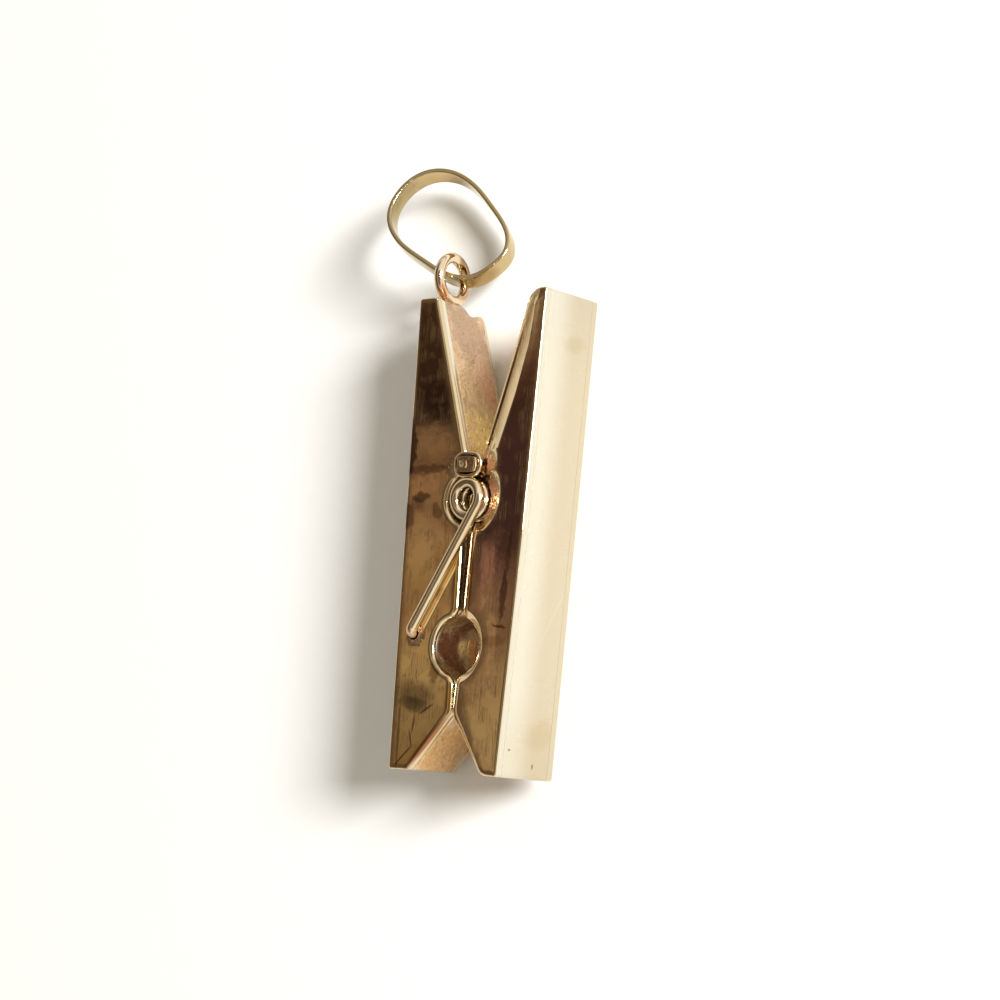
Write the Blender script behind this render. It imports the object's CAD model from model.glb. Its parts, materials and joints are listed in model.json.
import json
import math

import bmesh
import bpy
import numpy as np
from mathutils import Matrix, Vector, noise


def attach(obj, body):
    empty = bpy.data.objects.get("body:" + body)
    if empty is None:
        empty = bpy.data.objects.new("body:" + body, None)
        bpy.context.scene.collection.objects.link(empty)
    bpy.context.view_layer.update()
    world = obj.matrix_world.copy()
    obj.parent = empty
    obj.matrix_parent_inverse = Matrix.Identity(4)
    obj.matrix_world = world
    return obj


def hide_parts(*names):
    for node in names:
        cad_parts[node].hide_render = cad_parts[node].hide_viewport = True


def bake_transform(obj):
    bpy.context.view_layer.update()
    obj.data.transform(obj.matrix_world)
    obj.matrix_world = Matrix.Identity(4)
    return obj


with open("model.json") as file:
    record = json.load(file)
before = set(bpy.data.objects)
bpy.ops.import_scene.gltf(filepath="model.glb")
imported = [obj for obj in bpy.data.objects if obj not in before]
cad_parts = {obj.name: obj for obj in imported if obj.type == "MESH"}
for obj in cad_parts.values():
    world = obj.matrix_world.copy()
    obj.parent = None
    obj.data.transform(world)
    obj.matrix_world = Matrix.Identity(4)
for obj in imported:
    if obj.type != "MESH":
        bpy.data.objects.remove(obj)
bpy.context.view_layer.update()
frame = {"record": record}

# ---------------------------------------------------------------- frame
# Working sizes are in millimetres from the point on the plane between the
# halves, half way along and half way through the body.  The jaw hinge of the
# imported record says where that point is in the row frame.
JOINTS = {j["name"]: j for j in frame["record"]["behaviour"]["joints"]}
HINGE_Y = 3.30
F = np.array(JOINTS["jaw_hinge"]["pos_m"]) * 1000.0 - np.array([0.0, HINGE_Y, 0.0])
MM = 0.001

LENGTH, WIDTH, DEPTH = 25.0, 3.82, 4.27
WALL, RIM, ROUND = 0.25, 0.45, 0.40
TILT, TILT_Y = math.radians(1.32), -9.37
TOP = LENGTH / 2
FACE = DEPTH / 2
SEAM = FACE - RIM
HANDLE_X, SLOPE = 2.53, math.radians(15.86)
POCKET, POCKET_R = (-0.2919, 3.2966), 0.72
NOTCH, NOTCH_R = (-0.2513, 1.5371), 1.35
WAIST_X, JAW_X = 0.02, 0.02
GRIP, GRIP_R = (-0.17, -6.10), 1.58
FLARE_X, FLARE = 2.53, math.radians(40.3)
# the right half has worn loose in its hinge and lies rolled about the line where the jaws touch in front
ROLL, ROLL_Z, ROLL_DEPTH = math.radians(9.0), DEPTH / 2, 0.935


def to_row(points, side):
    """Half frame (X from the plane between the halves) to row frame, metres."""
    p = np.array(points, float).reshape(-1, 3)
    if side == "right":
        p[:, 0] *= 1 - 0.055 * np.clip(-p[:, 1] / TOP, 0, 1) * np.clip((p[:, 2] + 2.1) / 4.2, 0, 1)
        dz = (p[:, 2] - ROLL_Z) * ROLL_DEPTH
        px = p[:, 0].copy()
        p[:, 0] = px * math.cos(ROLL) - dz * math.sin(ROLL)
        p[:, 2] = ROLL_Z + px * math.sin(ROLL) + dz * math.cos(ROLL)
    if side == "left":
        low = np.clip((0.35 - p[:, 2]) / 1.1, 0, 1)
        low = low * low * (3 - 2 * low) * (0.85 + 0.25 * np.sin(p[:, 2] * 4.1 + p[:, 0] * 2.0))
        p[:, 1] -= np.clip((p[:, 1] - 11.3) / 1.2, 0, 1) ** 2 * 0.42 * low * np.clip((p[:, 1] < TOP + 0.02) * 1.0, 0, 1)
    sx = 1.0 if side == "right" else -1.0
    a = -TILT if side == "right" else TILT
    x, y, z = sx * p[:, 0], p[:, 1] - TILT_Y, p[:, 2]
    out = np.stack([x * math.cos(a) - y * math.sin(a), x * math.sin(a) + y * math.cos(a) + TILT_Y, z], 1)
    return (out + F) * MM


def work(points):
    """Working frame to row frame, metres."""
    return (np.asarray(points, float).reshape(-1, 3) + F) * MM


def make_mesh(name, verts, faces, merge=2e-7, sharp=35.0, smooth=True):
    mesh = bpy.data.meshes.new(name)
    mesh.from_pydata([tuple(v) for v in verts], [], [tuple(int(i) for i in f) for f in faces])
    bm = bmesh.new()
    bm.from_mesh(mesh)
    bmesh.ops.remove_doubles(bm, verts=bm.verts, dist=merge)
    bmesh.ops.dissolve_degenerate(bm, edges=bm.edges, dist=merge * 0.5)
    loose = [v for v in bm.verts if not v.link_faces]
    bmesh.ops.delete(bm, geom=loose, context="VERTS")
    bmesh.ops.recalc_face_normals(bm, faces=bm.faces)
    bm.to_mesh(mesh)
    bm.free()
    mesh.update()
    if smooth:
        mesh.polygons.foreach_set("use_smooth", [True] * len(mesh.polygons))
        mesh.set_sharp_from_angle(angle=math.radians(sharp))
    obj = bpy.data.objects.new(name, mesh)
    bpy.context.scene.collection.objects.link(obj)
    return obj


# ---------------------------------------------------------------- outline
def line(p, direction, inward):
    return {"kind": "line", "p": np.array(p, float), "d": np.array(direction, float), "n": np.array(inward, float)}


def ring_arc(c, r):
    return {"kind": "arc", "c": np.array(c, float), "r": r}


def crossing(a, b, s, guess):
    """Where two neighbouring edges meet once both are moved inwards by s."""
    if a["kind"] == "line" and b["kind"] == "line":
        p, q = a["p"] + a["n"] * s, b["p"] + b["n"] * s
        m = np.array([[a["d"][0], -b["d"][0]], [a["d"][1], -b["d"][1]]])
        t = np.linalg.solve(m, q - p)
        return p + a["d"] * t[0]
    if a["kind"] == "arc" and b["kind"] == "line":
        return crossing(b, a, s, guess)
    if a["kind"] == "line":
        p, d, c, r = a["p"] + a["n"] * s, a["d"], b["c"], b["r"] + s
        f = p - c
        k = f @ d
        h = k * k - (f @ f - r * r)
        h = math.sqrt(max(h, 0.0))
        options = [p + d * (-k - h), p + d * (-k + h)]
    else:
        ca, cb, ra, rb = a["c"], b["c"], a["r"] + s, b["r"] + s
        e = cb - ca
        dist = math.hypot(*e)
        k = (ra * ra - rb * rb + dist * dist) / (2 * dist)
        h = math.sqrt(max(ra * ra - k * k, 0.0))
        m = ca + e * k / dist
        w = np.array([-e[1], e[0]]) / dist
        options = [m + w * h, m - w * h]
    return min(options, key=lambda q: np.hypot(*(q - guess)))


def foot(edge, s, q):
    """Nearest point of an edge, moved inwards by s, to q."""
    if edge["kind"] == "line":
        p = edge["p"] + edge["n"] * s
        return p + edge["d"] * ((q - p) @ edge["d"])
    v = q - edge["c"]
    return edge["c"] + v / math.hypot(*v) * (edge["r"] + s)


S_DIR = np.array([-math.sin(SLOPE), -math.cos(SLOPE)])
F_DIR = np.array([math.sin(FLARE), -math.cos(FLARE)])
EDGES = [
    line((0, TOP), (-1, 0), (0, -1)),                                   # 0 handle end
    line((HANDLE_X, TOP), S_DIR, (math.cos(SLOPE), -math.sin(SLOPE))),  # 1 slope
    ring_arc(POCKET, POCKET_R),                                         # 2 knuckle pocket
    ring_arc(NOTCH, NOTCH_R),                                           # 3 coil notch
    line((WAIST_X, 0), (0, -1), (1, 0)),                                # 4 waist
    ring_arc(GRIP, GRIP_R),                                             # 5 grip notch
    line((JAW_X, 0), (0, -1), (1, 0)),                                  # 6 jaw face
    line((FLARE_X, -TOP), F_DIR, (math.cos(FLARE), math.sin(FLARE))),   # 7 flare
    line((0, -TOP), (1, 0), (0, 1)),                                    # 8 jaw end
    line((WIDTH, 0), (0, 1), (-1, 0)),                                  # 9 back
]
#           corner after edge:   0     1     2     3     4     5     6     7     8     9
CORNER_SETS = {
    "left": [0.20, 0.42, 0.10, 0.50, 0.60, 0.60, 0.75, 0.35, 0.16, 0.16],
    "right": [1.05, 0.50, 0.10, 0.50, 0.60, 0.60, 0.85, 0.85, 0.16, 0.16],
}
CORNER_R = list(CORNER_SETS["left"])
CORNER_N = [12, 10, 8, 10, 12, 12, 12, 10, 7, 7]
SPAN_N = [None, 84, 16, 34, 40, 46, 12, 34, None, None]
GUESS = [
    (HANDLE_X, TOP), (0.16, 4.0), (0.25, 2.75), (WAIST_X, 0.2), (WAIST_X, GRIP[1] + 1.55), (JAW_X, GRIP[1] - 1.55),
    (JAW_X, -9.54), (FLARE_X, -TOP), (WIDTH, -TOP), (WIDTH, TOP),
]
COLS = 26


def corner_points(i, s):
    a, b = EDGES[i], EDGES[(i + 1) % 10]
    r, n = CORNER_R[i], CORNER_N[i]
    if s >= r - 1e-9:
        q = crossing(a, b, s, np.array(GUESS[i]))
        return np.repeat(q[None, :], n, 0)
    c = crossing(a, b, r, np.array(GUESS[i]))
    p, q = foot(a, s, c) - c, foot(b, s, c) - c
    pa, qa = math.atan2(p[1], p[0]), math.atan2(q[1], q[0])
    turn = (qa - pa + math.pi) % (2 * math.pi) - math.pi
    angles = pa + turn * np.linspace(0, 1, n)
    return c + (r - s) * np.stack([np.cos(angles), np.sin(angles)], 1)


def span_points(i, s, start, end, n):
    """n points strictly between start and end along edge i."""
    edge = EDGES[i]
    t = np.arange(1, n + 1) / (n + 1)
    if edge["kind"] == "line":
        return start + (end - start) * t[:, None]
    p, q = start - edge["c"], end - edge["c"]
    pa, qa = math.atan2(p[1], p[0]), math.atan2(q[1], q[0])
    turn = (qa - pa + math.pi) % (2 * math.pi) - math.pi
    angles = pa + turn * t
    return edge["c"] + (edge["r"] + s) * np.stack([np.cos(angles), np.sin(angles)], 1)


def inner_side(s):
    """Corner 0, then everything down to corner 7: the inner side from handle to jaw tip."""
    parts = [corner_points(0, s)]
    for i in range(1, 8):
        following = corner_points(i, s)
        parts.append(span_points(i, s, parts[-1][-1], following[0], SPAN_N[i]))
        parts.append(following)
    return parts


def use_side(side):
    """Load the corner radii of one half and the heights its back points share with its inner side."""
    global ROW_Y, TOP_X, BOT_X, M
    CORNER_R[:] = CORNER_SETS[side]
    base = inner_side(ROUND)
    ROW_Y = np.concatenate(base[1:-1])[:, 1]
    TOP_X = np.linspace(base[0][-1][0], WIDTH - 0.12, COLS + 1)
    BOT_X = np.linspace(base[-1][0][0], WIDTH - 0.12, COLS + 1)
    M = len(ROW_Y)


use_side("left")


def ring(s):
    """Closed outline moved inwards by s.  The point count and order never change."""
    parts = inner_side(s)
    lo, hi = parts[-1][-1][0], WIDTH - max(s, CORNER_R[8])
    bottom = np.stack([lo + (hi - lo) * np.arange(1, COLS) / COLS, np.full(COLS - 1, -TOP + s)], 1)
    back = np.stack([np.full(M, WIDTH - s), np.clip(ROW_Y[::-1], -TOP + 0.5, TOP - 0.5)], 1)
    back[:, 1] = np.linspace(-TOP + max(s, CORNER_R[8]) + 0.02, TOP - max(s, CORNER_R[9]) - 0.02, M) * 0.5 + back[:, 1] * 0.5
    lo, hi = parts[0][0][0], WIDTH - max(s, CORNER_R[9])
    top = np.stack([hi + (lo - hi) * np.arange(1, COLS) / COLS, np.full(COLS - 1, TOP - s)], 1)
    return np.concatenate(parts + [bottom, corner_points(8, s), back, corner_points(9, s), top])


N0 = CORNER_N[0]
I_IN = N0                                   # first inner-side point
I_BI = N0 + M                               # bottom inner corner
I_BOT = I_BI + CORNER_N[7]
I_BO = I_BOT + COLS - 1
I_BACK = I_BO + CORNER_N[8]
I_TO = I_BACK + M
I_TOP = I_TO + CORNER_N[9]
N = I_TOP + COLS - 1
assert len(ring(0.0)) == N, (len(ring(0.0)), N)

# starts of the stretches of the inner side, as indices in a ring
MARKS = {}
_i = CORNER_N[0]
for _k in range(1, 8):
    MARKS["span%d" % _k] = _i
    _i += SPAN_N[_k]
    MARKS["corner%d" % _k] = _i
    _i += CORNER_N[_k]

OFFSETS = np.linspace(0.0, 1.5, 61)


def profile_widths(values):
    """Rounding width for each point of a ring from {index: width}, smoothly joined around the loop."""
    keys = sorted(values)
    xs = np.array(keys + [keys[0] + N], float)
    ys = np.array([values[k] for k in keys] + [values[keys[0]]], float)
    i = np.arange(N)
    j = np.where(i < keys[0], i + N, i)
    out = np.interp(j, xs, ys)
    kernel = np.ones(7) / 7
    padded = np.concatenate([out[-6:], out, out[:6]])
    return np.convolve(padded, kernel, "same")[6:-6]


def ring_at(table, widths):
    """Outline moved inwards by a different distance at each point."""
    k = np.clip(widths / (OFFSETS[1] - OFFSETS[0]), 0, len(OFFSETS) - 1.001)
    lo = k.astype(int)
    f = (k - lo)[:, None]
    i = np.arange(N)
    return table[lo, i] * (1 - f) + table[lo + 1, i] * f


def fill_grid(r):
    """Points (M + 2) x (COLS + 1) of the area inside an outline; the border is the outline itself."""
    left = np.concatenate([[r[0]], r[I_IN:I_BI], [r[I_BOT - 1]]])
    right = np.concatenate([[r[I_TO + 3]], r[I_BACK:I_TO][::-1], [r[I_BO + 3]]])
    t = np.linspace(0, 1, COLS + 1)[None, :, None]
    grid = left[:, None, :] * (1 - t) + right[:, None, :] * t
    grid[0, 1:-1] = r[I_TOP:N][::-1]
    grid[-1, 1:-1] = r[I_BOT:I_BO]
    return grid


def grid_border(base):
    """Index in a ring of every border cell of the fill grid, as {(row, col): ring index}."""
    out = {}
    out[(0, 0)] = base + 0
    out[(0, COLS)] = base + I_TO + 3
    out[(M + 1, 0)] = base + I_BOT - 1
    out[(M + 1, COLS)] = base + I_BO + 3
    for j in range(M):
        out[(j + 1, 0)] = base + I_IN + j
        out[(j + 1, COLS)] = base + I_BACK + (M - 1 - j)
    for k in range(1, COLS):
        out[(0, k)] = base + I_TOP + (COLS - 1 - k)
        out[(M + 1, k)] = base + I_BOT + (k - 1)
    return out


def cap_fans(base):
    """Triangles that close the corner arcs the grid leaves out."""
    fans = []
    for i in range(1, I_IN - 1 + 1):
        fans.append((base + 0, base + i, base + i + 1) if i + 1 <= I_IN else None)
    for i in range(I_BI - 1, I_BOT - 2):
        fans.append((base + I_BOT - 1, base + i, base + i + 1))
    for i in range(I_BO - 1, I_BO + 2):
        fans.append((base + I_BO + 3, base + i, base + i + 1))
    for i in range(I_BO + 4, I_BACK):
        fans.append((base + I_BO + 3, base + i, base + i + 1))
    for i in range(I_TO - 1, I_TO + 2):
        fans.append((base + I_TO + 3, base + i, base + i + 1))
    for i in range(I_TO + 4, I_TOP):
        fans.append((base + I_TO + 3, base + i, base + i + 1))
    return [f for f in fans if f]


def edge_distance(points, r):
    """Distance from points inside an outline to its nearest point."""
    d = np.full(len(points), 1e9)
    for chunk in range(0, len(r), 64):
        q = r[chunk:chunk + 64]
        e = np.hypot(points[:, None, 0] - q[None, :, 0], points[:, None, 1] - q[None, :, 1]).min(1)
        d = np.minimum(d, e)
    return d


def ripple(x, y, seed, scale):
    """Gentle unevenness of hand-finished sheet, about -1 to 1."""
    return noise.noise(Vector((x / scale, y / scale, seed * 7.31)))


EDGE_SHARP = 0.11
ROUND_SETS = {
    "left_front_cover": {0: 0.26, "span1": 0.28, "corner1": 0.30, "span4": 0.30, "corner4": 0.26, "span5": 0.26, "corner6": 0.26,
                         "span7": 0.28, "corner7": 0.20},
    "right_front_cover": {0: 0.45, "span1": 0.88, "span1+20": 1.22, "span1+50": 1.34, "corner1": 1.25, "span3": 1.0, "corner3": 0.70,
                          "span4": 0.42, "corner4": 0.40, "span5": 0.40, "corner6": 0.36, "span7": 0.34, "corner7": 0.26},
    "plain": {0: 0.26, "span1": 0.32, "corner3": 0.32, "span7": 0.32, "corner7": 0.24},
}


def widths_for(node):
    table = ROUND_SETS.get(node, ROUND_SETS["plain"])
    values = {}
    for key, width in table.items():
        if isinstance(key, str):
            name, _, more = key.partition("+")
            key = MARKS[name] + int(more or 0)
        values[key] = width
    values[I_BOT - 2] = 0.16
    values[I_BOT + 4] = EDGE_SHARP
    values[I_BO] = EDGE_SHARP
    values[I_TOP] = EDGE_SHARP
    values[N - 4] = EDGE_SHARP
    return profile_widths(values)


# ---------------------------------------------------------------- a dished cover
def cover(name, side, front, seed, hole=None):
    """A dished cover: rim, rounded outline, nearly flat face, and the hollow behind it."""
    sz = 1.0 if front else -1.0
    verts, faces = [], []
    table = np.stack([ring(v) for v in OFFSETS])
    node = name.replace("_skin", "")
    wide = widths_for(node)
    tall = np.minimum(wide, 0.40)
    flat_edge = np.zeros(N)
    if node == "right_front_cover":
        flat_edge = 0.88 * np.clip((wide - 0.18) / 0.16, 0, 1)
        tall = tall * (1 - flat_edge) + np.minimum(0.335 * wide, 0.40) * flat_edge

    def add_ring(widths, z):
        base = len(verts)
        r = ring_at(table, np.broadcast_to(np.asarray(widths, float), (N,)))
        verts.extend(np.column_stack([r, np.broadcast_to(z, (N,))]).tolist())
        return base

    def bridge(a, b):
        for i in range(N):
            j = (i + 1) % N
            faces.append((a + i, a + j, b + j, b + i))

    levels = [add_ring(0.022, SEAM), add_ring(0.005, SEAM + 0.006), add_ring(0.0, SEAM + 0.022)]
    steps = 16
    for i in range(steps + 1):
        phi = math.pi / 2 * i / steps
        go = (1 - math.cos(phi)) * (1 - flat_edge) + i / steps * flat_edge
        up = math.sin(phi) * (1 - flat_edge) + i / steps * flat_edge
        levels.append(add_ring(wide * go, FACE - tall + tall * up))
    for a, b in zip(levels, levels[1:]):
        bridge(a, b)
    edge = ring_at(table, wide)
    grid = fill_grid(edge)
    border = grid_border(levels[-1])
    flat = grid.reshape(-1, 2)
    d = np.clip(edge_distance(flat, edge), 0, None)
    crown = 0.006 * (1 - np.exp(-d / 0.5))
    fade = 1 - np.exp(-d / 0.25)
    wave = np.array([0.0009 * ripple(x, y, seed, 2.6) + 0.0004 * ripple(x, y, seed + 3, 0.95)
                     + 0.00030 * ripple(x * 0.35, y * 2.6, seed + 5, 0.9) * (1 if y > 4 else 0.3) for x, y in flat])
    height = FACE + crown + wave * fade
    index = np.zeros(grid.shape[:2], int)
    for j in range(M + 2):
        for k in range(COLS + 1):
            if (j, k) in border:
                index[j, k] = border[(j, k)]
            else:
                index[j, k] = len(verts)
                x, y = grid[j, k]
                verts.append([x, y, height[j * (COLS + 1) + k]])
    for j in range(M + 1):
        for k in range(COLS):
            faces.append((index[j, k], index[j, k + 1], index[j + 1, k + 1], index[j + 1, k]))
    faces.extend(cap_fans(levels[-1]))
    # hollow side
    inner_low = add_ring(WALL, SEAM)
    inner_high = add_ring(WALL, FACE - WALL)
    bridge(levels[0], inner_low)
    bridge(inner_low, inner_high)
    grid = fill_grid(ring_at(table, np.full(N, WALL)))
    border = grid_border(inner_high)
    index = np.zeros(grid.shape[:2], int)
    for j in range(M + 2):
        for k in range(COLS + 1):
            if (j, k) in border:
                index[j, k] = border[(j, k)]
            else:
                index[j, k] = len(verts)
                verts.append([grid[j, k][0], grid[j, k][1], FACE - WALL])
    for j in range(M + 1):
        for k in range(COLS):
            faces.append((index[j, k], index[j, k + 1], index[j + 1, k + 1], index[j + 1, k]))
    faces.extend(cap_fans(inner_high))
    v = np.array(verts)
    if node == "right_front_cover":
        # rough solder run along the hinge edge
        near = np.hypot(v[:, 0] - 0.55, (v[:, 1] - 2.45) * 0.42)
        amount = np.clip((1.15 - near) / 0.35, 0, 1) * np.clip((v[:, 2] - 1.75) / 0.05, 0, 1)
        for i in np.nonzero(amount > 0)[0]:
            x, y, z = v[i]
            k = noise.noise(Vector((x * 2.6, y * 2.6, 4.0))) * 0.5 + noise.noise(Vector((x * 6.5, y * 6.5, 9.0))) * 0.5
            v[i, 2] += amount[i] * (0.045 * k + 0.015)
    v[:, 2] *= sz
    obj = make_mesh(name, to_row(v, side), faces, sharp=38)
    if hole is not None:
        cutter_v, cutter_f = [], []
        n = 48
        cx, cy, cr = hole
        for z in (0.9, FACE + 0.9):
            for i in range(n):
                a = 2 * math.pi * i / n
                cutter_v.append([cx + cr * math.cos(a), cy + cr * math.sin(a), z * sz])
        for i in range(n):
            j = (i + 1) % n
            cutter_f.append((i, j, n + j, n + i))
        cutter_f.append(tuple(range(n))[::-1])
        cutter_f.append(tuple(range(n, 2 * n)))
        cutter = make_mesh(name + "_cutter", work(cutter_v), cutter_f)
        mod = obj.modifiers.new("leg_hole", "BOOLEAN")
        mod.operation = "DIFFERENCE"
        mod.solver = "EXACT"
        mod.object = cutter
        depsgraph = bpy.context.evaluated_depsgraph_get()
        mesh = bpy.data.meshes.new_from_object(obj.evaluated_get(depsgraph))
        obj.modifiers.clear()
        obj.data = mesh
        bpy.data.objects.remove(cutter, do_unlink=True)
        mesh.polygons.foreach_set("use_smooth", [True] * len(mesh.polygons))
        mesh.set_sharp_from_angle(angle=math.radians(38))
    return obj


# ---------------------------------------------------------------- strip and back
def wall_band(name, side, outer, inner, seed, amp, sharp=38):
    """A closed band that stands between the rims of two covers.

    outer and inner are matching open paths in the half frame; the band's outer
    edges are eased so that a fine seam shows beside each cover."""
    n = len(outer)
    z_levels = [-SEAM, -SEAM + 0.006, -SEAM + 0.022]
    z_levels += list(np.linspace(-SEAM + 0.022, SEAM - 0.022, 17)[1:-1])
    z_levels += [SEAM - 0.022, SEAM - 0.006, SEAM]
    ease = [0.022, 0.005, 0.0] + [0.0] * 15 + [0.0, 0.005, 0.022]
    outer, inner = np.asarray(outer), np.asarray(inner)
    inward = inner - outer
    length = np.hypot(inward[:, 0], inward[:, 1])
    inward = inward / np.maximum(length, 1e-9)[:, None]
    verts, faces = [], []
    for z, e in zip(z_levels, ease):
        for i in range(n):
            w = amp * ripple(outer[i, 1] * 1.0, z * 1.3 + outer[i, 0], seed, 1.7) * (1 - abs(z / SEAM) ** 8)
            p = outer[i] + inward[i] * (e - w)
            verts.append([p[0], p[1], z])
    levels = len(z_levels)
    base = len(verts)
    for z in (-SEAM, SEAM):
        for i in range(n):
            verts.append([inner[i, 0], inner[i, 1], z])
    for a in range(levels - 1):
        for i in range(n - 1):
            faces.append((a * n + i, a * n + i + 1, (a + 1) * n + i + 1, (a + 1) * n + i))
    top = (levels - 1) * n
    for i in range(n - 1):
        faces.append((i, i + 1, base + i + 1, base + i))
        faces.append((top + i, top + i + 1, base + n + i + 1, base + n + i))
        faces.append((base + i, base + i + 1, base + n + i + 1, base + n + i))
    for i in (0, n - 1):
        cap = [a * n + i for a in range(levels)] + [base + n + i, base + i]
        faces.append(tuple(cap))
    return make_mesh(name, to_row(np.array(verts), side), faces, sharp=sharp)


def half_walls(side, seed):
    use_side(side)
    r0, r1 = ring(0.0), ring(WALL)
    # strip: from the back edge of the handle end, over the inner side, to the back edge of the jaw end
    order = list(range(I_TOP, N)) + list(range(0, I_BO))
    start = I_TOP
    outer = [[WIDTH - WALL, TOP]] + [r0[i] for i in order] + [[WIDTH - WALL, -TOP]]
    inner = [[WIDTH - WALL, TOP - WALL]] + [r1[i] for i in order] + [[WIDTH - WALL, -TOP + WALL]]
    strip = wall_band(side + "_inner_strip", side, outer, inner, seed, 0.006, sharp=30)
    # back plate: round both outer corners
    order = list(range(I_BO, I_TOP))
    outer = [[WIDTH - WALL, -TOP]] + [r0[i] for i in order] + [[WIDTH - WALL, TOP]]
    inner = [[WIDTH - WALL, -TOP]] + [[WIDTH - WALL, float(np.clip(r0[i][1], -TOP, TOP))] for i in order] + [[WIDTH - WALL, TOP]]
    plate = wall_band(side + "_back_plate", side, outer, inner, seed + 11, 0.0035)
    return strip, plate


# ---------------------------------------------------------------- round pieces
def lathe(name, profile, center, axis="z", seg=96, shape=None, sharp=35):
    """Closed profile of (radius, height) turned about an axis through center, working frame."""
    verts, faces = [], []
    k = len(profile)
    for i in range(seg):
        a = 2 * math.pi * i / seg
        for r, h in profile:
            rr, hh = (r, h) if shape is None else shape(r, h, a)
            verts.append([center[0] + rr * math.cos(a), center[1] + rr * math.sin(a), center[2] + hh])
    for i in range(seg):
        j = (i + 1) % seg
        for p in range(k):
            q = (p + 1) % k
            faces.append((i * k + p, j * k + p, j * k + q, i * k + q))
    return make_mesh(name, work(verts), faces, sharp=sharp)


def tube_profile(r_in, r_out, low, high, ease):
    out = []
    for cx, cz, a0 in ((r_out - ease, high - ease, 0), (r_in + ease, high - ease, 90),
                       (r_in + ease, low + ease, 180), (r_out - ease, low + ease, 270)):
        for i in range(5):
            a = math.radians(a0 + 22.5 * i)
            out.append((cx + ease * math.cos(a), cz + ease * math.sin(a)))
    return out


def sweep(name, path, radius, seg=28, cap=True, wobble=0.0, seed=0):
    """Round wire along a path of points, working frame, with rounded ends."""
    path = np.asarray(path, float)
    tangent = np.gradient(path, axis=0)
    tangent /= np.linalg.norm(tangent, axis=1)[:, None]
    up = np.array([0.0, 0.0, 1.0]) if abs(tangent[0][2]) < 0.9 else np.array([1.0, 0.0, 0.0])
    normal = np.cross(tangent[0], up)
    normal /= np.linalg.norm(normal)
    verts, faces = [], []
    rings = []
    for i, (p, t) in enumerate(zip(path, tangent)):
        normal = normal - t * (normal @ t)
        normal /= np.linalg.norm(normal)
        rings.append((p, t, normal.copy(), np.cross(t, normal)))
    extra = []
    if cap:
        for end, sign in ((0, -1), (-1, 1)):
            p, t, a, b = rings[end]
            extra.append([(p + t * sign * radius * 0.35 * math.sin(math.radians(f)), t, a, b, math.cos(math.radians(f)) * 0.35 + 0.65)
                          for f in (30, 60, 90)])
    seq = []
    if cap:
        seq += list(reversed(extra[0]))
    seq += [(p, t, a, b, 1.0) for p, t, a, b in rings]
    if cap:
        seq += extra[1]
    for i, (p, t, a, b, k) in enumerate(seq):
        for s in range(seg):
            ang = 2 * math.pi * s / seg
            r = radius * k
            if wobble:
                q = p + a * math.cos(ang) * r + b * math.sin(ang) * r
                r *= 1 + wobble * noise.noise(Vector((q[0] / 0.7 + seed, q[1] / 0.7, q[2] / 0.7)))
            verts.append((p + a * math.cos(ang) * r + b * math.sin(ang) * r).tolist())
    for i in range(len(seq) - 1):
        for s in range(seg):
            u = (s + 1) % seg
            faces.append((i * seg + s, i * seg + u, (i + 1) * seg + u, (i + 1) * seg + s))
    faces.append(tuple(range(seg))[::-1])
    faces.append(tuple(range((len(seq) - 1) * seg, len(seq) * seg)))
    return make_mesh(name, work(verts), faces, sharp=50)


def spring_points():
    rc, cy, lift, bend = 0.865, 1.52, 2.43, 0.36
    end = np.array([-2.85, -5.50])
    dx, dy = end[0], end[1] - cy
    lean = math.atan2(-dx, -dy) + math.asin(rc / math.hypot(dx, dy))
    first = -lean
    start = np.array([rc * math.cos(first), cy + rc * math.sin(first), lift])
    along = np.array([-math.sin(lean), -math.cos(lean), 0.0])
    corner = np.array([end[0], end[1], lift])
    stop = corner - along * bend
    pts = [corner + np.array([0, 0, z - lift]) for z in np.linspace(1.93, lift - bend, 4)[:-1]]
    for i in range(13):
        a = math.radians(90 * i / 12)
        pts.append(corner - along * bend * (1 - math.cos(a)) + np.array([0, 0, -bend * (1 - math.sin(a))]))
    arm = stop + (start - stop) * np.linspace(0, 1, 60)[1:-1, None]
    pts += list(arm)
    turns = 15 * math.pi + 2 * lean
    ramp = math.radians(60)
    rate = 2 * lift / (turns - ramp)
    n = 560
    for i in range(n + 1):
        phi = turns * i / n
        if phi < ramp:
            fall = rate * phi * phi / (2 * ramp)
        elif phi > turns - ramp:
            fall = 2 * lift - rate * (turns - phi) ** 2 / (2 * ramp)
        else:
            fall = rate * (phi - ramp / 2)
        a = first + phi
        pts.append(np.array([rc * math.cos(a), cy + rc * math.sin(a), lift - fall]))
    front = pts[:3 + 13 + 58]
    rear = [np.array([-p[0], p[1], -p[2]]) for p in front[::-1]]
    # the rear arm is bent towards the rolled half, and its leg reaches the hole there
    for p in rear:
        away = math.hypot(p[0] - start[0] * -1, p[1] - start[1])
        p[2] += 0.46 * min(1.0, away / 7.2) ** 1.3
    return np.array(pts + rear), corner


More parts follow.
